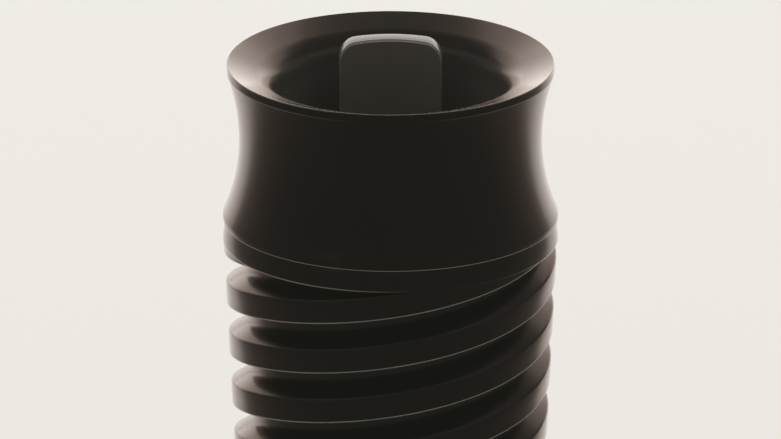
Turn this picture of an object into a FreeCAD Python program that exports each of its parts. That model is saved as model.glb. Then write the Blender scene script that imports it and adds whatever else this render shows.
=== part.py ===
import FreeCAD, Part
import math
import os
import Sketcher

# Dental implant in one piece: turned from bar, thread-milled and coated.
# Millimetres and degrees. Z is the long axis, the flat apex is at Z = 0 and the rim is on top.
# The front faces -Y, and the indexing tongue stands at the back of the socket.

driving_sizes = {
    "total_length": 12.4,
    # rim and waisted neck, with depths measured down from the rim plane
    "rim_radius": 2.40,
    "rim_band": 0.126,
    "rim_edge_break": 0.015,
    "waist_radius": 2.223,
    "waist_depth": 1.18,
    "collar_radius": 2.463,
    "collar_depth": 2.389,
    "collar_land": 0.054,
    "collar_round": 0.10,
    # rounded step ring between the collar and the thread
    "step_recess": 0.073,
    "step_height": 0.322,
    # tapered shank with a bevelled flat apex
    "taper_angle": 2.7,
    "apex_radius": 1.43,
    "apex_bevel_angle": 45.0,
    # bone thread: buttress grooves with a square upper wall and a sloped lower wall
    "thread_starts": 3,
    "thread_lead": 2.34,
    "thread_phase": 0.285,
    "crest_relief": 0.01,
    "groove_width": 0.415,
    "groove_root_width": 0.22,
    "groove_depth": 0.34,
    # socket: funnel mouth, conical seat, guide bore and screw bore
    "rim_land": 0.03,
    "mouth_angle": 20.0,
    "mouth_round": 0.50,
    "seat_radius": 1.656,
    "seat_angle": 7.5,
    "socket_depth": 1.80,
    "guide_radius": 0.88,
    "guide_depth": 3.20,
    "lead_in_angle": 45.0,
    "screw_radius": 0.70,
    "screw_depth": 6.40,
    "drill_point_angle": 118.0,
    # indexing tongue, flush with the rim
    "tongue_clearance": 0.173,
    "tongue_thickness": 0.267,
    "tongue_width": 1.516,
    "tongue_corner_round": 0.235,
    "tongue_root_depth": 0.15,
}

rim_height = "Sizes.total_length"
waist_height = "Sizes.total_length - Sizes.waist_depth"
collar_height = "Sizes.total_length - Sizes.collar_depth"
thread_top = "Sizes.total_length - Sizes.collar_depth - Sizes.step_height"
floor_height = "Sizes.total_length - Sizes.socket_depth"
guide_bottom = "Sizes.total_length - Sizes.guide_depth"
screw_bottom = "Sizes.total_length - Sizes.screw_depth"
mouth_radius = "Sizes.rim_radius - Sizes.rim_edge_break - Sizes.rim_land"
tongue_inner_radius = "Sizes.guide_radius + Sizes.tongue_clearance"

points_per_turn = 16

doc = FreeCAD.newDocument("dental_implant")
sheet = doc.addObject("Spreadsheet::Sheet", "Sizes")
for row, (alias, number) in enumerate(driving_sizes.items(), start=1):
    sheet.set(f"A{row}", alias)
    sheet.set(f"B{row}", str(number))
    sheet.setAlias(f"B{row}", alias)
doc.recompute()


def size(formula):
    """Present value of a formula over the sheet."""
    return float(sheet.evalExpression(formula))


def origin_feature(body, role):
    return next(item for item in body.Origin.OriginFeatures if item.Role == role)


def new_sketch(body, name, role):
    sketch = body.newObject("Sketcher::SketchObject", name)
    sketch.AttachmentSupport = [(origin_feature(body, role), "")]
    sketch.MapMode = "FlatFace"
    return sketch


def chain(sketch, pieces, smooth_after=()):
    """Adds a closed chain of lines and arcs. Each piece is a list of points: two make a line,
    three make an arc through the middle one. The joints after the pieces in smooth_after are
    tangent, and the others are corners."""
    for points in pieces:
        corners = [FreeCAD.Vector(x, y, 0) for x, y in points]
        if len(corners) == 2:
            sketch.addGeometry(Part.LineSegment(*corners), False)
        else:
            sketch.addGeometry(Part.Arc(*corners), False)
    for index in range(len(pieces)):
        following = (index + 1) % len(pieces)
        here = end_at(sketch, index, pieces[index][-1])
        there = end_at(sketch, following, pieces[following][0])
        kind = "Tangent" if index in smooth_after else "Coincident"
        relate(sketch, kind, index, here, following, there)


def end_at(sketch, index, point):
    """The end of a piece that lies at a point, 1 for its start and 2 for its end. An arc always
    runs anticlockwise, so one that is drawn clockwise has its ends swapped."""
    target = FreeCAD.Vector(point[0], point[1], 0)
    return min((1, 2), key=lambda end: sketch.getPoint(index, end).distanceToPoint(target))


def relate(sketch, kind, *references):
    sketch.addConstraint(Sketcher.Constraint(kind, *references))


def dimension(sketch, kind, references, formula):
    """Adds a dimension whose value follows the sheet."""
    number = size(formula)
    if kind == "Angle":
        number = math.radians(number)
    index = sketch.addConstraint(Sketcher.Constraint(kind, *references, number))
    sketch.setExpression(f"Constraints[{index}]", formula)


def place(sketch, reference, across, up):
    """Dimensions a point from the sketch's origin, across by one formula and up by another."""
    if across is not None:
        dimension(sketch, "DistanceX", (-1, 1, *reference), across)
    if up is not None:
        dimension(sketch, "DistanceY", (-1, 1, *reference), up)


def revolved(body, sketch, name):
    """A full turn of a sketch about the long axis."""
    feature = body.newObject("PartDesign::Revolution", name)
    feature.Profile = sketch
    feature.ReferenceAxis = (sketch, ["V_Axis"])
    feature.Angle = 360
    return feature


def new_body(name):
    body = doc.addObject("PartDesign::Body", name)
    body.Label = name
    return body


def arc_between(start, end, centre):
    """Three points of the arc from start to end about a centre, the short way."""
    middle = ((start[0] + end[0]) / 2 - centre[0], (start[1] + end[1]) / 2 - centre[1])
    radius = math.hypot(start[0] - centre[0], start[1] - centre[1])
    scale = radius / math.hypot(*middle)
    return [start, (centre[0] + middle[0] * scale, centre[1] + middle[1] * scale), end]


def make_head():
    """Everything above the thread as a solid of revolution: step ring, collar, waist and rim."""
    base = size(thread_top)
    rim = size(rim_height)
    rim_radius = size("Sizes.rim_radius")
    edge_break = size("Sizes.rim_edge_break")
    band_low = (rim_radius, rim - size("Sizes.rim_band"))
    waist = (size("Sizes.waist_radius"), size(waist_height))
    collar_radius = size("Sizes.collar_radius")
    collar = size(collar_height)
    recess = size("Sizes.step_recess")
    corner = size("Sizes.collar_round")
    land_top = collar + size("Sizes.collar_land")
    round_centre = (collar_radius - corner, land_top)
    upper_rise = band_low[1] - waist[1]
    upper_reach = rim_radius - waist[0]
    upper_radius = (upper_rise ** 2 + upper_reach ** 2) / (2 * upper_reach)
    lower_drop = waist[1] - land_top
    lower_reach = collar_radius - waist[0]
    lower_radius = ((lower_reach - corner) ** 2 + lower_drop ** 2 - corner ** 2) / (2 * lower_reach)
    upper_centre = (waist[0] + upper_radius, waist[1])
    lower_centre = (waist[0] + lower_radius, waist[1])
    share = lower_radius / (lower_radius + corner)
    flare_end = (
        lower_centre[0] + (round_centre[0] - lower_centre[0]) * share,
        lower_centre[1] + (round_centre[1] - lower_centre[1]) * share,
    )
    step_height = collar - base
    step_radius = (step_height ** 2 + recess ** 2) / (2 * recess)
    body = new_body("head")
    sketch = new_sketch(body, "head_outline", "XZ_Plane")
    pieces = [
        [(0, base), (0, rim)],
        [(0, rim), (rim_radius - edge_break, rim)],
        [(rim_radius - edge_break, rim), (rim_radius, rim - edge_break)],
        [(rim_radius, rim - edge_break), band_low],
        arc_between(band_low, waist, upper_centre),
        arc_between(waist, flare_end, lower_centre),
        arc_between(flare_end, (collar_radius, land_top), round_centre),
        [(collar_radius, land_top), (collar_radius, collar)],
        [(collar_radius, collar), (collar_radius - recess, collar)],
        arc_between((collar_radius - recess, collar), (collar_radius, base),
                    (collar_radius - step_radius, base)),
        [(collar_radius, base), (0, base)],
    ]
    (axis, top, edge, band, upper_flare, lower_flare, collar_arc, land, overhang, step,
     bottom) = range(len(pieces))
    chain(sketch, pieces, smooth_after=(upper_flare, lower_flare, collar_arc))
    relate(sketch, "PointOnObject", axis, 1, -2)
    relate(sketch, "Vertical", axis)
    for level in (top, overhang, bottom):
        relate(sketch, "Horizontal", level)
    for wall in (band, land):
        relate(sketch, "Vertical", wall)
    place(sketch, (axis, 1), None, thread_top)
    place(sketch, (axis, 2), None, rim_height)
    dimension(sketch, "DistanceX", (edge, 1, edge, 2), "Sizes.rim_edge_break")
    dimension(sketch, "DistanceY", (edge, 2, edge, 1), "Sizes.rim_edge_break")
    place(sketch, (band, 2), "Sizes.rim_radius", rim_height + " - Sizes.rim_band")
    place(sketch, (upper_flare, end_at(sketch, upper_flare, waist)),
          "Sizes.waist_radius", waist_height)
    place(sketch, (upper_flare, 3), None, waist_height)
    dimension(sketch, "Radius", (collar_arc,), "Sizes.collar_round")
    place(sketch, (land, 2), "Sizes.collar_radius", collar_height)
    dimension(sketch, "DistanceY", (land, 2, land, 1), "Sizes.collar_land")
    dimension(sketch, "DistanceX", (overhang, 2, overhang, 1), "Sizes.step_recess")
    place(sketch, (step, 3), None, thread_top)
    place(sketch, (bottom, 1), "Sizes.collar_radius", None)
    revolved(body, sketch, "head_turning")
    return body


def thread_section():
    """Corners of the thread in an axial section over one lead, from the square wall of one
    groove downwards. Each is the drop along the axis and the depth below the crest."""
    starts = round(size("Sizes.thread_starts"))
    spacing = size("Sizes.thread_lead") / starts
    depth = size("Sizes.groove_depth")
    corners = []
    for start in range(starts):
        top = start * spacing
        corners.append((top, 0))
        corners.append((top, depth))
        corners.append((top + size("Sizes.groove_root_width"), depth))
        corners.append((top + size("Sizes.groove_width"), 0))
    corners.append((starts * spacing, 0))
    return corners


def make_thread_winding():
    """The grooved core as one helical winding, longer than the shank at both ends. Its flanks,
    roots and crests are ruled strips of one turn each, sewn along their shared helices."""
    lead = size("Sizes.thread_lead")
    start_height = -size("Sizes.thread_phase")
    crest_top = size("Sizes.collar_radius - Sizes.crest_relief")
    slope = math.tan(math.radians(size("Sizes.taper_angle")))
    top = size(thread_top)
    section = thread_section()
    turns = math.ceil((top - start_height) / lead) + 1

    def radius_and_height(corner, turn):
        height = start_height + lead * turn - corner[0]
        return crest_top - (top - height) * slope - corner[1], height

    def point(corner, turn):
        radius, height = radius_and_height(corner, turn)
        angle = 2 * math.pi * turn
        return FreeCAD.Vector(radius * math.cos(angle), radius * math.sin(angle), height)

    def direction(corner, turn):
        radius, _ = radius_and_height(corner, turn)
        outward = lead * slope
        around = 2 * math.pi * radius
        return FreeCAD.Vector(outward, around, lead)

    def helix(corner, turn):
        steps = [step / points_per_turn for step in range(points_per_turn + 1)]
        curve = Part.BSplineCurve()
        curve.interpolate(
            Points=[point(corner, turn + step) for step in steps],
            Parameters=steps,
            InitialTangent=direction(corner, turn),
            FinalTangent=direction(corner, turn + 1),
            Scale=False,
        )
        return curve.toShape()

    def end_faces(edge, turn):
        """Closes an end with a helicoid down to the axis and a flat face through the axis."""
        low = edge.valueAt(edge.FirstParameter).z
        high = edge.valueAt(edge.LastParameter).z
        axis = Part.makeLine(FreeCAD.Vector(0, 0, low), FreeCAD.Vector(0, 0, high))
        rim = [point(corner, turn) for corner in section]
        outline = [FreeCAD.Vector(0, 0, high)] + rim + [FreeCAD.Vector(0, 0, low)]
        return [
            Part.makeRuledSurface(axis, edge),
            Part.Face(Part.makePolygon(outline + outline[:1])),
        ]

    strips = []
    edges_by_turn = [[helix(corner, turn) for corner in section] for turn in range(turns)]
    for edges in edges_by_turn:
        strips += [Part.makeRuledSurface(upper, lower) for upper, lower in zip(edges, edges[1:])]
    strips += end_faces(edges_by_turn[0][-1], 0)
    strips += end_faces(edges_by_turn[-1][0], turns)
    skin = Part.makeCompound(strips)
    skin.sewShape()
    solid = Part.Solid(skin.Shells[0])
    if solid.Volume < 0:
        solid.reverse()
    winding = doc.addObject("Part::Feature", "thread_winding")
    winding.Shape = solid
    return winding


def make_threaded_shank(winding):
    """The winding trimmed flat at both ends and bevelled at the apex. Its flat top is the
    ceiling at which every groove stops."""
    envelope = doc.addObject("Part::Cone", "shank_envelope")
    envelope.setExpression("Radius1", "Sizes.apex_radius")
    envelope.setExpression("Radius2", f"Sizes.apex_radius + ({thread_top}) / tan(Sizes.apex_bevel_angle)")
    envelope.setExpression("Height", thread_top)
    shank = doc.addObject("Part::Common", "threaded_shank")
    shank.Base = winding
    shank.Tool = envelope
    return shank


def make_socket():
    """The space bored into the head: funnel mouth, conical seat, guide bore and screw bore."""
    rim = size(rim_height)
    mouth = size(mouth_radius)
    mouth_angle = math.radians(size("Sizes.mouth_angle"))
    seat_angle = math.radians(size("Sizes.seat_angle"))
    corner = size("Sizes.mouth_round")
    seat_radius = size("Sizes.seat_radius")
    floor = size(floor_height)
    guide_radius = size("Sizes.guide_radius")
    guide_low = size(guide_bottom)
    screw_radius = size("Sizes.screw_radius")
    screw_low = size(screw_bottom)
    lead_in = math.radians(size("Sizes.lead_in_angle"))
    point_angle = math.radians(size("Sizes.drill_point_angle")) / 2
    centre_radius = seat_radius + corner * math.cos(seat_angle)
    bevel_end_radius = centre_radius - corner * math.sin(mouth_angle)
    bevel_end = (bevel_end_radius, rim - (mouth - bevel_end_radius) * math.tan(mouth_angle))
    centre = (centre_radius, bevel_end[1] - corner * math.cos(mouth_angle))
    seat_top = (seat_radius, centre[1] + corner * math.sin(seat_angle))
    floor_radius = seat_radius - (seat_top[1] - floor) * math.tan(seat_angle)
    shoulder_low = guide_low - (guide_radius - screw_radius) * math.tan(lead_in)
    tip = screw_low - screw_radius / math.tan(point_angle)
    body = new_body("socket")
    sketch = new_sketch(body, "socket_outline", "XZ_Plane")
    pieces = [
        [(0, rim), (mouth, rim)],
        [(mouth, rim), bevel_end],
        arc_between(bevel_end, seat_top, centre),
        [seat_top, (floor_radius, floor)],
        [(floor_radius, floor), (guide_radius, floor)],
        [(guide_radius, floor), (guide_radius, guide_low)],
        [(guide_radius, guide_low), (screw_radius, shoulder_low)],
        [(screw_radius, shoulder_low), (screw_radius, screw_low)],
        [(screw_radius, screw_low), (0, tip)],
        [(0, tip), (0, rim)],
    ]
    opening, bevel, rounding, seat, floor_line, guide, shoulder, screw, point, axis = range(len(pieces))
    chain(sketch, pieces, smooth_after=(bevel, rounding))
    relate(sketch, "PointOnObject", opening, 1, -2)
    for level in (opening, floor_line):
        relate(sketch, "Horizontal", level)
    for wall in (guide, screw, axis):
        relate(sketch, "Vertical", wall)
    place(sketch, (opening, 2), mouth_radius, rim_height)
    dimension(sketch, "Angle", (opening, 2, bevel, 1), "Sizes.mouth_angle")
    dimension(sketch, "Radius", (rounding,), "Sizes.mouth_round")
    place(sketch, (seat, 1), "Sizes.seat_radius", None)
    dimension(sketch, "Angle", (axis, 1, seat, 2), "-Sizes.seat_angle")
    place(sketch, (guide, 1), "Sizes.guide_radius", floor_height)
    place(sketch, (guide, 2), None, guide_bottom)
    dimension(sketch, "Angle", (shoulder, 1, floor_line, 1), "-Sizes.lead_in_angle")
    place(sketch, (screw, 2), "Sizes.screw_radius", screw_bottom)
    dimension(sketch, "Angle", (point, 2, axis, 1), "Sizes.drill_point_angle / 2")
    revolved(body, sketch, "socket_boring")
    return body


def make_tongue():
    """Indexing tongue: a slice of a ring, parallel-sided, from below the socket's floor up to the
    rim plane, with its two top corners rounded."""
    half_width = size("Sizes.tongue_width") / 2
    inner = size(tongue_inner_radius)
    outer = inner + size("Sizes.tongue_thickness")
    inner_side = math.sqrt(inner ** 2 - half_width ** 2)
    outer_side = math.sqrt(outer ** 2 - half_width ** 2)
    body = new_body("tongue")
    sketch = new_sketch(body, "tongue_section", "XY_Plane")
    sketch.setExpression("AttachmentOffset.Base.z", f"{floor_height} - Sizes.tongue_root_depth")
    chain(sketch, [
        [(half_width, inner_side), (0, inner), (-half_width, inner_side)],
        [(-half_width, inner_side), (-half_width, outer_side)],
        [(-half_width, outer_side), (0, outer), (half_width, outer_side)],
        [(half_width, outer_side), (half_width, inner_side)],
    ])
    face, left, back, right = range(4)
    for arc in (face, back):
        relate(sketch, "Coincident", arc, 3, -1, 1)
    for side in (left, right):
        relate(sketch, "Vertical", side)
    dimension(sketch, "Radius", (face,), tongue_inner_radius)
    dimension(sketch, "Radius", (back,), tongue_inner_radius + " + Sizes.tongue_thickness")
    place(sketch, (right, 1), "Sizes.tongue_width / 2", None)
    place(sketch, (left, 1), "-Sizes.tongue_width / 2", None)
    blade = body.newObject("PartDesign::Pad", "tongue_blade")
    blade.Profile = sketch
    blade.setExpression("Length", "Sizes.socket_depth + Sizes.tongue_root_depth")
    doc.recompute()
    rounded = body.newObject("PartDesign::Fillet", "tongue_corners")
    rounded.Base = (blade, side_edges_at(blade.Shape, size(rim_height), half_width))
    rounded.setExpression("Radius", "Sizes.tongue_corner_round")
    return body


def side_edges_at(shape, height, half_width):
    """Names of the straight edges that cross the two sides of a blade at a height."""
    names = []
    for index, edge in enumerate(shape.Edges, start=1):
        box = edge.BoundBox
        level = abs(box.ZMin - height) < 1e-4 and abs(box.ZMax - height) < 1e-4
        at_side = abs(abs(box.XMin) - half_width) < 1e-4 and box.XLength < 1e-4
        if level and at_side:
            names.append(f"Edge{index}")
    return names


def joined(kind, name, *parts):
    """A boolean of whole parts: a union of them all, or the first with the second cut away."""
    result = doc.addObject(kind, name)
    if kind == "Part::Cut":
        result.Base, result.Tool = parts
    else:
        result.Shapes = list(parts)
    return result


head = make_head()
shank = make_threaded_shank(make_thread_winding())
socket = make_socket()
tongue = make_tongue()
blank = joined("Part::MultiFuse", "blank", head, shank)
bored_blank = joined("Part::Cut", "bored_blank", blank, socket)
implant = joined("Part::MultiFuse", "implant_body", bored_blank, tongue)
implant.Label = "implant_body"
doc.recompute()

for item in doc.Objects:
    if "Invalid" in item.State or "Error" in item.State:
        raise RuntimeError(f"{item.Name} failed: {item.State}")
shape = implant.Shape
if shape.isNull() or not shape.isValid() or len(shape.Solids) != 1:
    raise RuntimeError("implant_body is not one valid solid")
os.makedirs("parts", exist_ok=True)
shape.exportStep(f"parts/{implant.Label}.step")
print(f"implant_body: {shape.Volume:.2f} mm3, {len(shape.Faces)} faces")
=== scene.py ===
import math

import bmesh
import bpy
from mathutils import Matrix, Vector


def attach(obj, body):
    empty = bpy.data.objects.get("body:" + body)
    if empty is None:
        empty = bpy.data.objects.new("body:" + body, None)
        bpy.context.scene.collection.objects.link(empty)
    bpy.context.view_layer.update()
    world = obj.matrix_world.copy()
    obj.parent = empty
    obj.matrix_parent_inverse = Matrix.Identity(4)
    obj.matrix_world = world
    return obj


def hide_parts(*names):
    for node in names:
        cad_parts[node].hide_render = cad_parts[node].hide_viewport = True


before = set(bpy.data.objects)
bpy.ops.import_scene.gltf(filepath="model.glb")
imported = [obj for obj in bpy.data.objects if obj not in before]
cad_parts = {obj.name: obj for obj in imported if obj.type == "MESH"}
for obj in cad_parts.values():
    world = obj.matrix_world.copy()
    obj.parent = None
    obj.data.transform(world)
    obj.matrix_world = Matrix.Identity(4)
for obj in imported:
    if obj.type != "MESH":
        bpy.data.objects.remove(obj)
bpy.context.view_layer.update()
print("frame loaded")

# Lengths in the dictionaries are millimetres, and heights start at the flat apex.
metre = 0.001
columns = 192  # steps around the implant
cutGap = 1e-5  # points nearer than this to a cut lie on it
mergeGap = 2e-5  # points nearer than this are one
levelGap = 1e-4  # heights nearer than this are level
glintMargin = 0.006  # how far past its round the painted highlight of an edge ends


def arcPoints(centre, radius, start, stop, steps):
    angles = [start + (stop - start) * step / steps for step in range(steps + 1)]
    return [(centre[0] + radius * math.cos(a), centre[1] + radius * math.sin(a)) for a in angles]


# rounds each corner (x, y, radius, painted highlight) of an open line; radius and highlight may
# be left out. A corner with a painted highlight gets a point just past each end of its round,
# where it is nought again.
def softened(corners, degreesAStep=22):
    corners = [(*corner, 0, 0)[:4] for corner in corners]
    points = [(*corners[0][:2], 0)]
    for before, (x, y, radius, paintedGlint), after in zip(corners, corners[1:], corners[2:]):
        spot = Vector((x, y))
        back = (Vector(before[:2]) - spot).normalized()
        ahead = (Vector(after[:2]) - spot).normalized()
        turn = math.pi - back.angle(ahead)
        if not radius or turn < 0.01:
            points.append((x, y, 0))
            continue
        reach = radius * math.tan(turn / 2)
        centre = spot + (back + ahead).normalized() * (radius / math.cos(turn / 2))
        first = spot + back * reach - centre
        swing = first.angle_signed(spot + ahead * reach - centre)
        steps = max(2, math.ceil(math.degrees(turn) / degreesAStep))
        start = math.atan2(first.y, first.x)
        if paintedGlint:
            points.append((*(spot + back * (reach + glintMargin)), 0))
        arc = arcPoints(centre, radius, start, start - swing, steps)
        points += [(*point, paintedGlint) for point in arc]
        if paintedGlint:
            points.append((*(spot + ahead * (reach + glintMargin)), 0))
    return points + [(*corners[-1][:2], 0)]


# A thread is wound in a flat sheet first, with x the angle in radians, y the radius and z the
# height, so that plain plane cuts trim it to cones and flat ends. Then the sheet is rolled up.
def buildWindingNodes():
    tree = bpy.data.node_groups.new("threadWinding", "GeometryNodeTree")
    tree.is_modifier = True
    for name, kind in (("Section", "Geometry"), ("Turns of section", "Int"), ("Columns", "Int"),
                       ("Pitch", "Float"), ("Lead", "Float"), ("Start height", "Float"),
                       ("Crest radius", "Float"), ("Crest height", "Float"), ("Taper", "Float"),
                       ("Edge depth", "Float"), ("Finish", "Material")):
        tree.interface.new_socket(name, in_out="INPUT", socket_type="NodeSocket" + kind)
    tree.interface.new_socket("Sheet", in_out="OUTPUT", socket_type="NodeSocketGeometry")
    link = tree.links.new

    def node(kind, **settings):
        made = tree.nodes.new(kind)
        for name, value in settings.items():
            setattr(made, name, value)
        return made

    def sums(operation, *values):
        made = node("ShaderNodeMath", operation=operation)
        for socket, value in zip(made.inputs, values):
            if isinstance(value, (int, float)):
                socket.default_value = value
            else:
                link(value, socket)
        return made.outputs[0]

    given = node("NodeGroupInput").outputs
    # one section on each groove, one above the other, read row by row. A section's x is the
    # depth, its z the height and its y the painted highlight of the edge there.
    rise = node("ShaderNodeCombineXYZ")
    link(given["Pitch"], rise.inputs["Z"])
    ladder = node("GeometryNodeMeshLine")
    link(given["Turns of section"], ladder.inputs["Count"])
    link(rise.outputs[0], ladder.inputs["Offset"])
    rungs = node("GeometryNodeInstanceOnPoints")
    link(ladder.outputs[0], rungs.inputs["Points"])
    link(given["Section"], rungs.inputs["Instance"])
    outline = node("GeometryNodeRealizeInstances")
    link(rungs.outputs[0], outline.inputs[0])
    rowCount = node("GeometryNodeAttributeDomainSize")
    link(outline.outputs[0], rowCount.inputs[0])
    rows = rowCount.outputs["Point Count"]
    # a grid whose place gives the column and the row
    lastRow = sums("SUBTRACT", rows, 1)
    sheet = node("GeometryNodeMeshGrid")
    link(given["Columns"], sheet.inputs["Size X"])
    link(lastRow, sheet.inputs["Size Y"])
    link(sums("ADD", given["Columns"], 1), sheet.inputs["Vertices X"])
    link(rows, sheet.inputs["Vertices Y"])
    place = node("ShaderNodeSeparateXYZ")
    link(node("GeometryNodeInputPosition").outputs[0], place.inputs[0])
    turn = sums("ADD", sums("DIVIDE", place.outputs["X"], given["Columns"]), 0.5)
    row = sums("ROUND", sums("ADD", place.outputs["Y"], sums("DIVIDE", lastRow, 2)))
    reading = node("GeometryNodeSampleIndex", data_type="FLOAT_VECTOR")
    link(outline.outputs[0], reading.inputs["Geometry"])
    link(node("GeometryNodeInputPosition").outputs[0], reading.inputs["Value"])
    link(row, reading.inputs["Index"])
    corner = node("ShaderNodeSeparateXYZ")
    link(reading.outputs[0], corner.inputs[0])
    climb = sums("ADD", sums("MULTIPLY", given["Lead"], turn), given["Start height"])
    height = sums("ADD", corner.outputs["Z"], climb)
    narrowing = sums("MULTIPLY", sums("SUBTRACT", given["Crest height"], height), given["Taper"])
    crest = sums("SUBTRACT", given["Crest radius"], narrowing)
    wound = node("ShaderNodeCombineXYZ")
    link(sums("MULTIPLY", turn, 2 * math.pi), wound.inputs["X"])
    link(sums("SUBTRACT", crest, corner.outputs["X"]), wound.inputs["Y"])
    link(height, wound.inputs["Z"])
    paintedHighlight = node("GeometryNodeStoreNamedAttribute", data_type="FLOAT", domain="POINT")
    paintedHighlight.inputs["Name"].default_value = "paintedGlint"
    link(sheet.outputs["Mesh"], paintedHighlight.inputs["Geometry"])
    link(corner.outputs["Y"], paintedHighlight.inputs["Value"])
    sunk = node("GeometryNodeStoreNamedAttribute", data_type="FLOAT", domain="POINT")
    sunk.inputs["Name"].default_value = "groove"
    link(paintedHighlight.outputs[0], sunk.inputs["Geometry"])
    depth = sums("DIVIDE", sums("MAXIMUM", corner.outputs["X"], 0), given["Edge depth"])
    link(sums("MINIMUM", depth, 1), sunk.inputs["Value"])
    moved = node("GeometryNodeSetPosition")
    link(sunk.outputs[0], moved.inputs["Geometry"])
    link(wound.outputs[0], moved.inputs["Position"])
    realized = node("GeometryNodeRealizeInstances")
    link(moved.outputs[0], realized.inputs[0])
    finished = node("GeometryNodeSetMaterial")
    link(realized.outputs[0], finished.inputs["Geometry"])
    link(given["Finish"], finished.inputs["Material"])
    link(finished.outputs[0], node("NodeGroupOutput").inputs[0])
    return tree


# the winding of one section as a bmesh, still flat
def woundSheet(name, section, values):
    line = bpy.data.meshes.new(name)
    line.from_pydata([(depth, paintedGlint, height) for depth, height, paintedGlint in section], [], [])
    holder = bpy.data.objects.new(name, line)
    bpy.context.scene.collection.objects.link(holder)
    modifier = holder.modifiers.new("winding", "NODES")
    modifier.node_group = windingNodes
    for socket in windingNodes.interface.items_tree:
        if socket.name in values:
            modifier[socket.identifier] = values[socket.name]
    bpy.context.view_layer.update()
    graph = bpy.context.evaluated_depsgraph_get()
    mesh = bpy.data.meshes.new_from_object(holder.evaluated_get(graph))
    sheet = bmesh.new()
    sheet.from_mesh(mesh)
    bpy.data.objects.remove(holder)
    bpy.data.meshes.remove(mesh)
    return sheet


# cuts along a plane, and can clear what lies on the normal's side
def cutSheet(sheet, point, normal, clear=False):
    bmesh.ops.bisect_plane(sheet, geom=sheet.verts[:] + sheet.edges[:] + sheet.faces[:],
                           dist=cutGap, plane_co=point, plane_no=normal, clear_outer=clear)


# brings what stands beyond the limiting radius back to it, where no edge, painted edge highlight
# or groove is left
def clampTo(sheet, limitAt):
    layers = [sheet.verts.layers.float[name] for name in ("paintedGlint", "groove")]
    for vertex in sheet.verts:
        limit = limitAt(vertex.co.z)
        if vertex.co.y > limit - cutGap:
            vertex.co.y = min(vertex.co.y, limit)
            for layer in layers:
                vertex[layer] = 0


def rollUp(sheet):
    for vertex in sheet.verts:
        angle, radius, height = vertex.co
        vertex.co = (radius * math.cos(angle), radius * math.sin(angle), height)
    bmesh.ops.remove_doubles(sheet, verts=sheet.verts, dist=mergeGap)


# turns a profile of radius, height and painted edge highlight about the long axis
def spun(shape, profile):
    for layer in ("paintedGlint", "groove"):
        shape.verts.layers.float.new(layer)
    glintLayer = shape.verts.layers.float["paintedGlint"]
    angles = [2 * math.pi * column / columns for column in range(columns)]
    rings = []
    for radius, height, paintedGlint in profile:
        ring = [shape.verts.new((radius * math.cos(a), radius * math.sin(a), height))
                for a in angles]
        for vertex in ring:
            vertex[glintLayer] = paintedGlint
        rings.append(ring)
    for low, high in zip(rings, rings[1:]):
        for column in range(columns):
            shape.faces.new((low[column - 1], low[column], high[column], high[column - 1]))


# the edges of the ring that is still open at a height
def openEdgesAt(shape, height):
    return [edge for edge in shape.edges if edge.is_boundary
            and all(abs(vertex.co.z - height) < levelGap for vertex in edge.verts)]


neck = {
    "rimHeight": 12.4, "rimRadius": 2.40, "rimBand": 0.126, "rimRound": 0.012, "bandRound": 0.03,
    "waistRadius": 2.223, "waistHeight": 11.22, "flareSteps": 16,
    "collarRadius": 2.463, "collarHeight": 10.011, "collarLand": 0.054, "collarRound": 0.10,
    "collarSteps": 4, "overhangRound": 0.012, "stepRecess": 0.073, "stepSteps": 8,
    "footChamfer": 0.016, "footGlint": 0.9, "rimGlint": 0.8,
}


def neckProfile():
    n = neck
    base = boneThread["ceiling"]
    rise = n["rimHeight"] - n["rimBand"] - n["waistHeight"]
    reach = n["rimRadius"] - n["waistRadius"]
    upperRadius = (rise ** 2 + reach ** 2) / (2 * reach)
    landTop = n["collarHeight"] + n["collarLand"]
    drop = n["waistHeight"] - landTop
    swell = n["collarRadius"] - n["waistRadius"]
    small = n["collarRound"]
    lowerRadius = ((swell - small) ** 2 + drop ** 2 - small ** 2) / (2 * swell)
    lowerTurn = math.asin(drop / (lowerRadius + small))
    upperTurn = math.asin(rise / upperRadius)
    stepHeight = n["collarHeight"] - base
    stepRadius = (stepHeight ** 2 + n["stepRecess"] ** 2) / (2 * n["stepRecess"])
    stepTurn = math.asin(stepHeight / stepRadius)
    step = arcPoints((n["collarRadius"] - stepRadius, base), stepRadius,
                     0, stepTurn, n["stepSteps"])
    collar = arcPoints((n["collarRadius"] - small, landTop), small,
                       0, lowerTurn, n["collarSteps"])
    lower = arcPoints((n["waistRadius"] + lowerRadius, n["waistHeight"]), lowerRadius,
                      math.pi + lowerTurn, math.pi, n["flareSteps"])
    upper = arcPoints((n["waistRadius"] + upperRadius, n["waistHeight"]), upperRadius,
                      math.pi, math.pi - upperTurn, n["flareSteps"])
    # a fine chamfer under the step ring carries the painted highlight of its edge
    chamferTop = base + n["footChamfer"]
    foot = [(n["collarRadius"] - n["footChamfer"] / 2, base),
            (n["collarRadius"], chamferTop), (n["collarRadius"], chamferTop + glintMargin)]
    return [
        *foot, *step[1:],
        # the collar's overhanging edge gets a full painted highlight line
        (n["collarRadius"], n["collarHeight"], n["overhangRound"], 1),
        *collar, *lower[1:], *upper[1:-1],
        # the rim band's lower and top edges get painted highlight lines
        (n["rimRadius"], n["rimHeight"] - n["rimBand"], n["bandRound"], n["rimGlint"]),
        (n["rimRadius"], n["rimHeight"], n["rimRound"], n["rimGlint"]),
    ]


seat = {
    "mouthRadius": 2.355, "mouthAngle": math.radians(20), "mouthRound": 0.50, "mouthSteps": 10,
    "seatRadius": 1.656, "seatAngle": math.radians(7.5), "floorHeight": 10.6, "floorRound": 0.05,
    "guideRadius": 0.88, "lipRound": 0.03, "lipGlint": 0.5,
    "mouthDull": 0.8,  # how far the mouth's coat is as dull as a groove's, and how much of the groove's painted glow it gets
}


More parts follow.
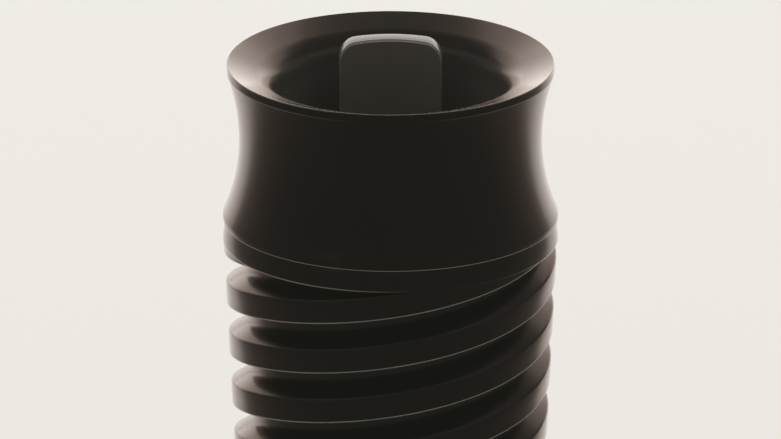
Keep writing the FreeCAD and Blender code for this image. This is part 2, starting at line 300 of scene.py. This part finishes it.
def seatProfile():
    s = seat
    # the seat's top lies on the round, whose middle also lies off the mouth's bevel
    middle = s["seatRadius"] + s["mouthRound"] * math.cos(s["seatAngle"])
    bevelEnd = middle - s["mouthRound"] * math.sin(s["mouthAngle"])
    bevelLow = neck["rimHeight"] - (s["mouthRadius"] - bevelEnd) * math.tan(s["mouthAngle"])
    centre = (middle, bevelLow - s["mouthRound"] * math.cos(s["mouthAngle"]))
    mouth = arcPoints(centre, s["mouthRound"], math.pi / 2 + s["mouthAngle"],
                      math.pi - s["seatAngle"], s["mouthSteps"])
    floorRadius = s["seatRadius"] - (mouth[-1][1] - s["floorHeight"]) * math.tan(s["seatAngle"])
    return mouth + [
        (floorRadius, s["floorHeight"], s["floorRound"]),
        # the lip of the guide bore gets a painted highlight line
        (s["guideRadius"], s["floorHeight"], s["lipRound"], s["lipGlint"]),
        (s["guideRadius"], screwThread["shoulderTop"] + screwThread["seam"]),
    ]


boneThread = {
    "ceiling": 9.689, "crestRadius": 2.453, "taper": math.tan(math.radians(2.7)),
    "lead": 2.34, "starts": 3, "phase": 0.285, "groove": 0.415, "root": 0.22, "depth": 0.34,
    "squareRound": 0.022, "slopedRound": 0.06, "rootRound": 0.20, "cornerRound": 0.06,
    "edgeDepth": 0.05,  # depth at which the surface counts as inside a groove
    "apexRadius": 1.43, "spareTurns": 5,  # grooves wound below the apex, to be cut off
}


# depth and height over one groove, from the middle of one ridge's top to the next
def boneSection():
    t = boneThread
    pitch = t["lead"] / t["starts"]
    ridge = pitch - t["groove"]
    return softened([
        (0, ridge / 2),
        (0, ridge, t["slopedRound"]),
        (t["depth"], pitch - t["root"], t["rootRound"]),
        (t["depth"], pitch, t["cornerRound"]),
        # the square edge of each ridge gets a full painted highlight line along its round
        (0, pitch, t["squareRound"], 1),
        (0, pitch + ridge / 2),
    ])[:-1]


def makeShank():
    t = boneThread
    pitch = t["lead"] / t["starts"]
    sheet = woundSheet("shankWinding", boneSection(), {
        "Turns of section": math.ceil(t["ceiling"] / pitch) + t["spareTurns"] + 1,
        "Columns": columns, "Pitch": pitch, "Lead": t["lead"],
        "Start height": -t["phase"] - t["spareTurns"] * pitch,
        "Crest radius": t["crestRadius"], "Crest height": t["ceiling"], "Taper": t["taper"],
        "Edge depth": t["edgeDepth"], "Finish": bodyCoat,
    })
    cutSheet(sheet, (0, 0, t["ceiling"]), (0, 0, 1), clear=True)
    cutSheet(sheet, (0, t["apexRadius"], 0), (0, 1, -1))
    clampTo(sheet, lambda height: t["apexRadius"] + height)  # the apex bevel
    cutSheet(sheet, (0, 0, 0), (0, 0, -1), clear=True)
    rollUp(sheet)
    bmesh.ops.dissolve_degenerate(sheet, dist=cutGap, edges=sheet.edges)
    return sheet


screwThread = {
    "radius": 0.70, "shoulderTop": 9.2, "shoulderBottom": 9.02, "bottom": 6.0,
    "pitch": 0.35, "depth": 0.12, "crestHalf": 0.06, "crestRound": 0.015, "rootHalf": 0.02,
    "runOut": 6.3, "runOutSlope": 0.5, "columns": 96, "spareTurns": 2,
    "seam": 0.05,  # height left open between the shoulder and the guide bore, bridged last
    "drillPoint": math.radians(59),
}


def makeScrewBore():
    s = screwThread
    half = s["pitch"] / 2
    section = softened([
        (0, 0), (0, s["crestHalf"], s["crestRound"]),
        (-s["depth"], half - s["rootHalf"]), (-s["depth"], half + s["rootHalf"]),
        (0, s["pitch"] - s["crestHalf"], s["crestRound"]), (0, s["pitch"]),
    ], degreesAStep=45)[:-1]
    length = s["shoulderTop"] - s["bottom"]
    sheet = woundSheet("boreWinding", section, {
        "Turns of section": math.ceil(length / s["pitch"]) + s["spareTurns"] + 1,
        "Columns": s["columns"], "Pitch": s["pitch"], "Lead": s["pitch"],
        "Start height": s["bottom"] - s["spareTurns"] * s["pitch"], "Crest radius": s["radius"],
        "Crest height": s["shoulderTop"], "Taper": 0.0, "Edge depth": 1.0, "Finish": bodyCoat,
    })
    # the thread runs out above the bottom, and the shoulder's cone cuts it off at the top
    cutSheet(sheet, (0, 0, s["shoulderTop"]), (0, 0, 1), clear=True)
    cutSheet(sheet, (0, s["radius"], s["runOut"]), (0, 1, -s["runOutSlope"]))
    cutSheet(sheet, (0, s["radius"], s["shoulderBottom"]), (0, -1, 1))
    clampTo(sheet, lambda height: s["radius"] + max(0, (height - s["runOut"]) * s["runOutSlope"]))
    for vertex in sheet.verts:
        vertex.co.y = max(vertex.co.y, s["radius"] + vertex.co.z - s["shoulderBottom"])
    cutSheet(sheet, (0, 0, s["bottom"]), (0, 0, -1), clear=True)
    rollUp(sheet)
    bmesh.ops.dissolve_degenerate(sheet, dist=cutGap, edges=sheet.edges)
    return sheet


# puts a shape in millimetres into the scene as a finished object in metres, with a crisp edge
# where two faces meet at more than the sharp angle, in degrees
def pieceFrom(shape, name, finish, sharp=34):
    bmesh.ops.triangulate(shape, faces=[face for face in shape.faces if len(face.verts) > 4])
    bmesh.ops.recalc_face_normals(shape, faces=shape.faces)
    shape.transform(Matrix.Scale(metre, 4))
    mesh = bpy.data.meshes.new(name)
    shape.to_mesh(mesh)
    openEdges = sum(not edge.is_manifold for edge in shape.edges)
    print(name, len(mesh.vertices), "points,", openEdges, "open edges")
    shape.free()
    mesh.materials.append(finish)
    mesh.shade_smooth()
    mesh.set_sharp_from_angle(angle=math.radians(sharp))
    piece = bpy.data.objects.new(name, mesh)
    bpy.context.scene.collection.objects.link(piece)
    return piece


# how far a groove lies open below the ceiling: 0 above a ridge, 1 above a groove
def grooveOpen(x, y):
    t = boneThread
    pitch = t["lead"] / t["starts"]
    squareWall = t["lead"] * math.atan2(y, x) / (2 * math.pi) - t["phase"]
    below = (squareWall - t["ceiling"]) % pitch
    return min(1, max(0, (t["groove"] - below) / (t["groove"] - t["root"])))


def makeBody():
    shape = bmesh.new()
    spun(shape, softened(neckProfile() + seatProfile()))
    glintLayer, grooveLayer = (shape.verts.layers.float[name] for name in ("paintedGlint", "groove"))
    footHigh = boneThread["ceiling"] + neck["footChamfer"] + glintMargin / 2
    bandLow = neck["rimHeight"] - neck["rimBand"]
    for vertex in shape.verts:
        x, y, height = vertex.co
        reach = math.hypot(x, y)
        # the step ring's foot gets a painted highlight line only where a groove lies open below
        # it
        if height < footHigh and reach > neck["waistRadius"]:
            vertex[glintLayer] = neck["footGlint"] * grooveOpen(x, y)
        elif height > bandLow - neck["bandRound"]:
            vertex[glintLayer] *= (x / reach) ** 2  # the painted highlight lines on the rim are strongest at its two sides and fade to nothing at the front and back
        mouthEdge = seat["mouthRadius"] + glintMargin if height > bandLow else neck["waistRadius"]
        if height > bandLow - seat["mouthRound"] and reach < mouthEdge:
            vertex[grooveLayer] = seat["mouthDull"]
    for part in (makeShank(), makeScrewBore()):
        mesh = bpy.data.meshes.new("part")
        part.to_mesh(mesh)
        part.free()
        shape.from_mesh(mesh)
        bpy.data.meshes.remove(mesh)
    bmesh.ops.remove_doubles(shape, verts=shape.verts, dist=mergeGap)
    s = screwThread
    seam = openEdgesAt(shape, s["shoulderTop"]) + openEdgesAt(shape, s["shoulderTop"] + s["seam"])
    bmesh.ops.bridge_loops(shape, edges=seam)
    tip = shape.verts.new((0, 0, s["bottom"] - s["radius"] / math.tan(s["drillPoint"])))
    for edge in openEdgesAt(shape, s["bottom"]):
        shape.faces.new((*edge.verts, tip))  # the drill's point
    ceiling = openEdgesAt(shape, boneThread["ceiling"])
    bmesh.ops.triangle_fill(shape, use_beauty=True, edges=ceiling, normal=(0, 0, -1))
    bmesh.ops.contextual_create(shape, geom=openEdgesAt(shape, 0))
    return shape


tongue = {
    "innerRadius": 1.053, "thickness": 0.267, "width": 1.516, "slices": 20,
    "bottom": 10.5, "top": 12.4, "cornerRound": 0.235, "cornerSteps": 8,
    "edgeRound": 0.012, "edgeSegments": 4,
    "edgeLine": 0.010, "ledge": 0.028, "ledgeSlope": 0.004,  # the fine step inside the front edge
    "plainFoot": 0.1,  # height at the foot that gets no painted edge highlight
}


def makeTongue():
    t = tongue
    half = t["width"] / 2
    corner = t["cornerRound"]
    level = t["top"] - corner
    outline = [
        (half, t["bottom"]),
        *arcPoints((half - corner, level), corner, 0, math.pi / 2, t["cornerSteps"]),
        *arcPoints((corner - half, level), corner, math.pi / 2, math.pi, t["cornerSteps"]),
        (-half, t["bottom"]),
    ]
    shape = bmesh.new()
    front = shape.faces.new([shape.verts.new((x, 0, z)) for x, z in outline])
    walls = bmesh.ops.extrude_face_region(shape, geom=[front])["geom"]
    for vertex in (item for item in walls if isinstance(item, bmesh.types.BMVert)):
        vertex.co.y = 1
    bmesh.ops.scale(shape, vec=(1, t["thickness"], 1), verts=shape.verts)
    bmesh.ops.recalc_face_normals(shape, faces=shape.faces)
    edges = [edge for edge in shape.edges if edge.calc_face_angle(0) > 1]  # the square ones
    bmesh.ops.bevel(shape, geom=edges, offset=t["edgeRound"], segments=t["edgeSegments"],
                    profile=0.5, affect="EDGES", clamp_overlap=True)
    # the front face's rim gets a painted highlight line, a light colour in place of the glint on
    # its round
    glintLayer = shape.verts.layers.float.new("paintedGlint")
    for vertex in shape.verts:
        if vertex.co.y < cutGap and vertex.co.z > t["bottom"] + t["plainFoot"]:
            vertex[glintLayer] = 1
    flats = [face for face in shape.faces
             if len(face.verts) > 4 and face.calc_center_median().y < cutGap]
    bmesh.ops.inset_region(shape, faces=flats, thickness=t["edgeLine"])
    bmesh.ops.inset_region(shape, faces=flats, thickness=t["ledgeSlope"], depth=t["ledge"])
    for vertex in {vertex for face in flats for vertex in face.verts}:
        vertex[glintLayer] = 0
    for cut in range(1, t["slices"]):
        cutSheet(shape, (-half + t["width"] * cut / t["slices"], 0, 0), (1, 0, 0))
    for vertex in shape.verts:  # the flat plate is bent to the seat's curve
        radius = t["innerRadius"] + vertex.co.y
        vertex.co.y = math.sqrt(radius ** 2 - vertex.co.x ** 2)
    return shape


coating = {
    "dark": (0.0070, 0.0063, 0.0052, 1), "light": (0.0105, 0.0096, 0.0080, 1),
    # paintedHighlight is the light colour painted along edges in place of the glints on their
    # rounds
    "paintedHighlight": (0.31, 0.28, 0.252, 1), "edgeTint": (1, 0.87, 0.82, 1),
    # lift and paintedGrooveGlow are painted glow: a faint emission that lifts the blacks, more in
    # the grooves
    "lift": (0.0066, 0.0060, 0.0048, 1), "paintedGrooveGlow": (0.0078, 0.0082, 0.0066, 1),
    "refraction": 1.22, "coatRefraction": 1.31, "coatRoughness": 0.12,
    "spread": 0.05, "fineSpread": 0.06, "breakup": 0.35, "relief": 0.5,
    "bareOuter": 1.78, "bareInner": 1.64,  # radii between which the seat's bare metal fades in
    "bareAbove": 5.5,  # and the height above which it is bare
    "glossFrom": 0.50, "glossTo": 0.74, "plainCoat": 0.18,  # the coat's gloss by viewing angle
    "grooveRoughness": 0.10, "grooveCoat": 0.5,
    # steps to a metre of the patches, grains, turning rings and the spots that break up the
    # painted edge highlights
    "clouds": (900, 900, 900), "grains": (30000, 30000, 30000),
    "rings": (500, 500, 24000), "spots": (2600, 2600, 2600),
}


def mathIn(tree, operation, *values):
    made = tree.nodes.new("ShaderNodeMath")
    made.operation = operation
    for socket, value in zip(made.inputs, values):
        if isinstance(value, (int, float)):
            socket.default_value = value
        else:
            tree.links.new(value, socket)
    return made.outputs[0]


# noise on the object's own metres, stretched by a scale for each axis
def noiseIn(tree, scale, detail, roughness):
    stretch = tree.nodes.new("ShaderNodeMapping")
    stretch.inputs["Scale"].default_value = scale
    place = tree.nodes.new("ShaderNodeTexCoord").outputs["Object"]
    tree.links.new(place, stretch.inputs["Vector"])
    made = tree.nodes.new("ShaderNodeTexNoise")
    made.inputs["Scale"].default_value = 1
    made.inputs["Detail"].default_value = detail
    made.inputs["Roughness"].default_value = roughness
    tree.links.new(stretch.outputs[0], made.inputs["Vector"])
    return made.outputs["Fac"]


def newEffect(name, inputs, outputs):
    group = bpy.data.node_groups.new(name, "ShaderNodeTree")
    for label, value in inputs.items():
        socket = group.interface.new_socket(label, in_out="INPUT", socket_type="NodeSocketFloat")
        socket.default_value = value
    for label in outputs:
        group.interface.new_socket(label, in_out="OUTPUT", socket_type="NodeSocketFloat")
    given = group.nodes.new("NodeGroupInput").outputs
    return group, given, group.nodes.new("NodeGroupOutput").inputs


# cloudy tint, roughness and turning marks of a thin coating on turned metal
def buildGrainNodes():
    group, given, result = newEffect(
        "coatGrain", {"Roughness": 0.3, "Spread": 0.1, "Turning": 0.5, "Grain": 0.5},
        ("Tint", "Roughness", "Height"))
    cloud = noiseIn(group, coating["clouds"], 4, 0.55)
    grain = noiseIn(group, coating["grains"], 3, 0.6)
    marks = noiseIn(group, coating["rings"], 3, 0.6)  # rings left by the turning tool
    rough = mathIn(group, "MULTIPLY_ADD", mathIn(group, "SUBTRACT", cloud, 0.5), given["Spread"],
                   given["Roughness"])
    fine = mathIn(group, "MULTIPLY", given["Grain"], coating["fineSpread"])
    rough = mathIn(group, "MULTIPLY_ADD", mathIn(group, "SUBTRACT", grain, 0.5), fine, rough)
    height = mathIn(group, "ADD", mathIn(group, "MULTIPLY", marks, given["Turning"]),
                    mathIn(group, "MULTIPLY", grain, given["Grain"]))
    group.links.new(cloud, result["Tint"])
    group.links.new(rough, result["Roughness"])
    group.links.new(height, result["Height"])
    return group


# painted highlight lines along the edges: a lighter, non-metal colour that stands in for the
# glints on their rounds, broken up a little
def buildGlintNodes():
    group, given, result = newEffect("paintedEdgeGlint", {"Amount": 1.0, "Breakup": 0.4}, ("Mask",))
    edge = group.nodes.new("ShaderNodeAttribute")
    edge.attribute_name = "paintedGlint"
    spots = noiseIn(group, coating["spots"], 3, 0.6)
    broken = mathIn(group, "MULTIPLY", given["Breakup"], mathIn(group, "SUBTRACT", spots, 0.5))
    whole = mathIn(group, "ADD", 1.0, mathIn(group, "MULTIPLY", broken, 2.0))
    glintAmount = mathIn(group, "MULTIPLY", edge.outputs["Fac"], given["Amount"])
    mask = mathIn(group, "MULTIPLY", glintAmount, whole)
    limited = group.nodes.new("ShaderNodeClamp")
    group.links.new(mask, limited.inputs[0])
    group.links.new(limited.outputs[0], result["Mask"])
    return group


# What differs between the two finishes: "bare" is the tone of the metal inside the seat, "bump"
# the marks' height in metres, and "fullCoat" the coat's weight where it is seen at a low angle.
bodyFinish = {
    "roughness": 0.20, "turning": 0.9, "grain": 0.4, "bump": 0.0000022,
    "paintedGlint": 0.6, "bare": (0.048, 0.043, 0.037, 1), "fullCoat": 1.0,
}
tongueFinish = {
    "roughness": 0.30, "turning": 0.2, "grain": 0.5, "bump": 0.0000012,
    "paintedGlint": 1.0, "bare": (0.084, 0.074, 0.065, 1), "fullCoat": 0.55,
}


def coatMaterial(name, finish):
    material = bpy.data.materials.new(name)
    material.use_nodes = True
    tree = material.node_tree
    shader = tree.nodes["Principled BSDF"]

    def effect(group, values):
        made = tree.nodes.new("ShaderNodeGroup")
        made.node_tree = group
        for label, value in values.items():
            made.inputs[label].default_value = value
        return made.outputs

    def mixed(factor, first, second):
        made = tree.nodes.new("ShaderNodeMix")
        made.data_type = "RGBA"
        for label, value in (("Factor", factor), ("A", first), ("B", second)):
            socket = next(s for s in made.inputs if s.name == label and s.enabled)
            if isinstance(value, (tuple, int, float)):
                socket.default_value = value
            else:
                tree.links.new(value, socket)
        return next(s for s in made.outputs if s.enabled)

    coat = effect(grainNodes, {"Roughness": finish["roughness"], "Spread": coating["spread"],
                               "Turning": finish["turning"], "Grain": finish["grain"]})
    paintedHighlight = effect(glintNodes, {"Amount": finish["paintedGlint"], "Breakup": coating["breakup"]})
    place = tree.nodes.new("ShaderNodeSeparateXYZ")
    tree.links.new(tree.nodes.new("ShaderNodeTexCoord").outputs["Object"], place.inputs[0])
    square = mathIn(tree, "ADD", mathIn(tree, "POWER", place.outputs["X"], 2.0),
                    mathIn(tree, "POWER", place.outputs["Y"], 2.0))
    inside = tree.nodes.new("ShaderNodeMapRange")
    inside.inputs["From Min"].default_value = (coating["bareOuter"] * metre) ** 2
    inside.inputs["From Max"].default_value = (coating["bareInner"] * metre) ** 2
    tree.links.new(square, inside.inputs["Value"])
    upper = mathIn(tree, "GREATER_THAN", place.outputs["Z"], coating["bareAbove"] * metre)
    bare = mathIn(tree, "MULTIPLY", inside.outputs[0], upper)
    tint = mixed(coat["Tint"], coating["dark"], coating["light"])
    tint = mixed(bare, tint, finish["bare"])
    # painted highlight: edges take a light, non-metal colour in place of the glints on their
    # rounds
    tint = mixed(paintedHighlight["Mask"], tint, coating["paintedHighlight"])
    plain = mathIn(tree, "SUBTRACT", 1.0, mathIn(tree, "MAXIMUM", bare, paintedHighlight["Mask"]))
    groove = tree.nodes.new("ShaderNodeAttribute")
    groove.attribute_name = "groove"
    sunk = groove.outputs["Fac"]
    tree.links.new(tint, shader.inputs["Base Color"])
    tree.links.new(plain, shader.inputs["Metallic"])
    rough = mathIn(tree, "MULTIPLY_ADD", sunk, coating["grooveRoughness"], coat["Roughness"])
    tree.links.new(rough, shader.inputs["Roughness"])
    # the coat's gloss shows most where the surface is seen at a low angle
    grazing = tree.nodes.new("ShaderNodeLayerWeight")
    gloss = tree.nodes.new("ShaderNodeMapRange")
    gloss.interpolation_type = "SMOOTHSTEP"
    for label, value in (("From Min", coating["glossFrom"]), ("From Max", coating["glossTo"]),
                         ("To Min", coating["plainCoat"]), ("To Max", finish["fullCoat"])):
        gloss.inputs[label].default_value = value
    tree.links.new(grazing.outputs["Facing"], gloss.inputs["Value"])
    dulled = mathIn(tree, "MULTIPLY_ADD", sunk, coating["grooveCoat"] - 1, 1.0)
    weight = mathIn(tree, "MULTIPLY", gloss.outputs[0], dulled)
    tree.links.new(weight, shader.inputs["Coat Weight"])
    # painted glow: a faint emission lifts the blacks everywhere, a little more where the surface
    # is sunk
    lift = mixed(sunk, coating["lift"], coating["paintedGrooveGlow"])
    tree.links.new(lift, shader.inputs["Emission Color"])
    relief = tree.nodes.new("ShaderNodeBump")
    relief.inputs["Distance"].default_value = finish["bump"]
    relief.inputs["Strength"].default_value = coating["relief"]
    tree.links.new(coat["Height"], relief.inputs["Height"])
    tree.links.new(relief.outputs["Normal"], shader.inputs["Normal"])
    shader.inputs["IOR"].default_value = coating["refraction"]
    shader.inputs["Specular Tint"].default_value = coating["edgeTint"]
    shader.inputs["Coat IOR"].default_value = coating["coatRefraction"]
    shader.inputs["Coat Roughness"].default_value = coating["coatRoughness"]
    shader.inputs["Emission Strength"].default_value = 1.0
    return material


windingNodes = buildWindingNodes()
grainNodes = buildGrainNodes()
glintNodes = buildGlintNodes()
bodyCoat = coatMaterial("bodyCoat", bodyFinish)
tongueCoat = coatMaterial("tongueCoat", tongueFinish)
print("finishes made")

body = pieceFrom(makeBody(), "implantBody", bodyCoat)
blade = pieceFrom(makeTongue(), "indexTongue", tongueCoat)
for piece in (body, blade):
    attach(piece, "root")
    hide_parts("implant_body")
print("implant made")

# the studio's lengths are metres
studio = {
    "floorColour": (0.60, 0.59, 0.57, 1), "floorRefraction": 1.8, "floorRoughness": 0.2,
    "floorReach": 4, "skyFront": (0.48, 0.47, 0.455, 1), "skyBack": (0.74, 0.725, 0.70, 1),
    "lampColour": (1, 0.955, 0.91), "lampDistance": 1.2,
    # azimuth, elevation, width, height and strength of each lamp; azimuth 0 is the camera's side
    "lamps": {
        "backPanel": (180, 14, 2.4, 0.52, 1.12), "upperPanel": (180, 37, 2.2, 0.46, 2.0),
        "leftPanel": (-62, 48, 1.2, 1.2, 0.25), "rightPanel": (68, 48, 1.1, 1.1, 0.25),
    },
}


def makeFloor():
    mesh = bpy.data.meshes.new("floor")
    far = studio["floorReach"]
    corners = [(-far, -far, 0), (far, -far, 0), (far, far, 0), (-far, far, 0)]
    mesh.from_pydata(corners, [], [(0, 1, 2, 3)])
    floor = bpy.data.objects.new("floor", mesh)
    bpy.context.scene.collection.objects.link(floor)
    material = bpy.data.materials.new("floorPaper")
    material.use_nodes = True
    shader = material.node_tree.nodes["Principled BSDF"]
    shader.inputs["Base Color"].default_value = studio["floorColour"]
    shader.inputs["Roughness"].default_value = studio["floorRoughness"]
    shader.inputs["IOR"].default_value = studio["floorRefraction"]
    mesh.materials.append(material)


# a flat lamp that faces the implant
def softbox(name, azimuth, elevation, width, height, strength):
    turn, lift = math.radians(azimuth), math.radians(elevation)
    away = Vector((math.sin(turn) * math.cos(lift), -math.cos(turn) * math.cos(lift),
                   math.sin(lift)))
    lamp = bpy.data.lights.new(name, "AREA")
    lamp.shape = "RECTANGLE"
    lamp.size = width
    lamp.size_y = height
    lamp.energy = strength * math.pi * width * height
    lamp.color = studio["lampColour"]
    holder = bpy.data.objects.new(name, lamp)
    holder.location = away * studio["lampDistance"]
    holder.rotation_euler = away.to_track_quat("Z", "Y").to_euler()
    holder.visible_camera = False
    bpy.context.scene.collection.objects.link(holder)


def lightStudio():
    world = bpy.data.worlds.new("studio")
    world.use_nodes = True
    nodes = world.node_tree.nodes
    link = world.node_tree.links.new
    direction = nodes.new("ShaderNodeSeparateXYZ")
    link(nodes.new("ShaderNodeTexCoord").outputs["Generated"], direction.inputs[0])
    sky = nodes.new("ShaderNodeMix")
    sky.data_type = "RGBA"
    factor, front, back = [socket for socket in sky.inputs if socket.enabled]
    front.default_value = studio["skyFront"]
    back.default_value = studio["skyBack"]
    half = nodes.new("ShaderNodeMapRange")
    half.inputs["From Min"].default_value = -1
    link(direction.outputs["Y"], half.inputs["Value"])
    link(half.outputs[0], factor)
    colour = next(socket for socket in sky.outputs if socket.enabled)
    link(colour, nodes["Background"].inputs["Color"])
    bpy.context.scene.world = world
    for name, values in studio["lamps"].items():
        softbox(name, *values)


# the photo's long lens; the frame's width is what it shows at the implant's axis
view = {"elevation": 19.2, "lens": 700, "sensor": 36, "aimHeight": 9.963, "frameWidth": 11.472,
        "nearest": 0.01, "farthest": 10}


def placeCamera():
    camera = bpy.data.cameras.new("camera")
    camera.lens = view["lens"]
    camera.sensor_width = view["sensor"]
    camera.clip_start = view["nearest"]
    camera.clip_end = view["farthest"]
    distance = view["frameWidth"] * metre * view["lens"] / view["sensor"]
    lift = math.radians(view["elevation"])
    toward = Vector((0, -math.cos(lift), math.sin(lift)))
    holder = bpy.data.objects.new("camera", camera)
    holder.location = Vector((0, 0, view["aimHeight"] * metre)) + toward * distance
    holder.rotation_euler = toward.to_track_quat("Z", "Y").to_euler()
    bpy.context.scene.collection.objects.link(holder)
    bpy.context.scene.camera = holder


makeFloor()
lightStudio()
placeCamera()
bpy.context.scene.view_settings.view_transform = "Standard"
print("studio ready")
